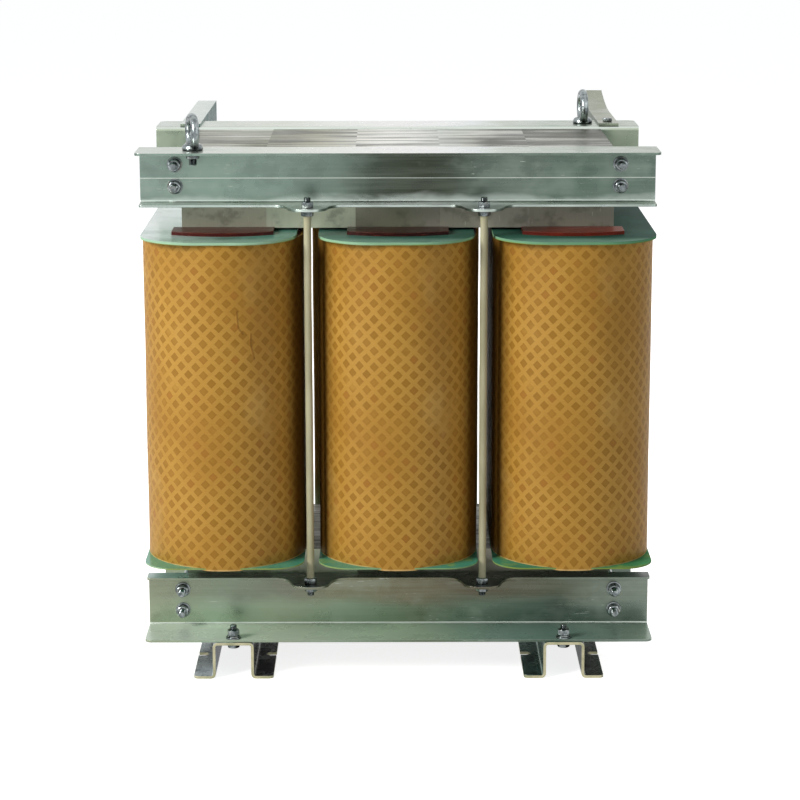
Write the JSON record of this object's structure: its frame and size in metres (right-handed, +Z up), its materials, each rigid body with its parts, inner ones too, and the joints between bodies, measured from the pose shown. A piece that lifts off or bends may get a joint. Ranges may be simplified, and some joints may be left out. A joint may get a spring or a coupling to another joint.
{
  "type": "dry type transformer",
  "caption": "Open dry type transformer: laminated core, paper-wrapped oval windings, folded sheet clamps with tie rods, lifting eyes and hat-section feet.",
  "frame": {"origin": "on the floor, midway between the two feet and between the front and rear clamps", "axes": "+X to the right along the clamps, +Y to the rear, +Z up"},
  "size_m": [0.73, 0.7485, 0.811],
  "materials": {
    "core_steel": "satin",
    "galvanised_sheet": "bright galvanised",
    "foot_zinc": "yellowish zinc plate",
    "former_wood": "plain",
    "copper": "enamelled",
    "barrier_board": "plain",
    "dotted_paper": "varnished, diamond dots",
    "glass_laminate": "glossy laminate",
    "phenolic": "satin",
    "sleeve": "woven glass, varnished",
    "zinc_fasteners": "bright zinc plate"
  },
  "bodies": {
    "root": {"arm_bolts": "zinc_fasteners", "arm_nuts": "zinc_fasteners", "bottom_end_plate_center": "glass_laminate", "bottom_end_plate_left": "glass_laminate", "bottom_end_plate_right": "glass_laminate", "clamp_nuts": "zinc_fasteners", "clamp_spring_washers": "zinc_fasteners", "clamp_studs": "zinc_fasteners", "clamp_washers": "zinc_fasteners", "core_limb_center": "core_steel", "core_limb_left": "core_steel", "core_limb_right": "core_steel", "duct_barrier_center": "barrier_board", "duct_barrier_left": "barrier_board", "duct_barrier_right": "barrier_board", "eye_bolt_nuts": "zinc_fasteners", "eye_bolt_washers": "zinc_fasteners", "foot_bolts": "zinc_fasteners", "foot_nuts": "zinc_fasteners", "foot_spring_washers": "zinc_fasteners", "foot_washers": "zinc_fasteners", "front_eye_bolt": "zinc_fasteners", "high_voltage_winding_center": "copper", "high_voltage_winding_left": "copper", "high_voltage_winding_right": "copper", "left_arm": "galvanised_sheet", "left_foot": "foot_zinc", "low_voltage_winding_center": "copper", "low_voltage_winding_left": "copper", "low_voltage_winding_right": "copper", "lower_front_clamp": "galvanised_sheet", "lower_rear_clamp": "galvanised_sheet", "lower_yoke_left": "core_steel", "lower_yoke_right": "core_steel", "packing_segments": "phenolic", "paper_wrap_center": "dotted_paper", "paper_wrap_left": "dotted_paper", "paper_wrap_right": "dotted_paper", "rear_eye_bolt": "zinc_fasteners", "right_arm": "galvanised_sheet", "right_foot": "foot_zinc", "tie_rod_nuts": "zinc_fasteners", "tie_rod_sleeves": "sleeve", "tie_rods": "zinc_fasteners", "top_end_plate_center": "glass_laminate", "top_end_plate_left": "glass_laminate", "top_end_plate_right": "glass_laminate", "upper_front_clamp": "galvanised_sheet", "upper_rear_clamp": "galvanised_sheet", "upper_yoke_left": "core_steel", "upper_yoke_right": "core_steel", "winding_former_center": "former_wood", "winding_former_left": "former_wood", "winding_former_right": "former_wood"}
  },
  "joints": []
}
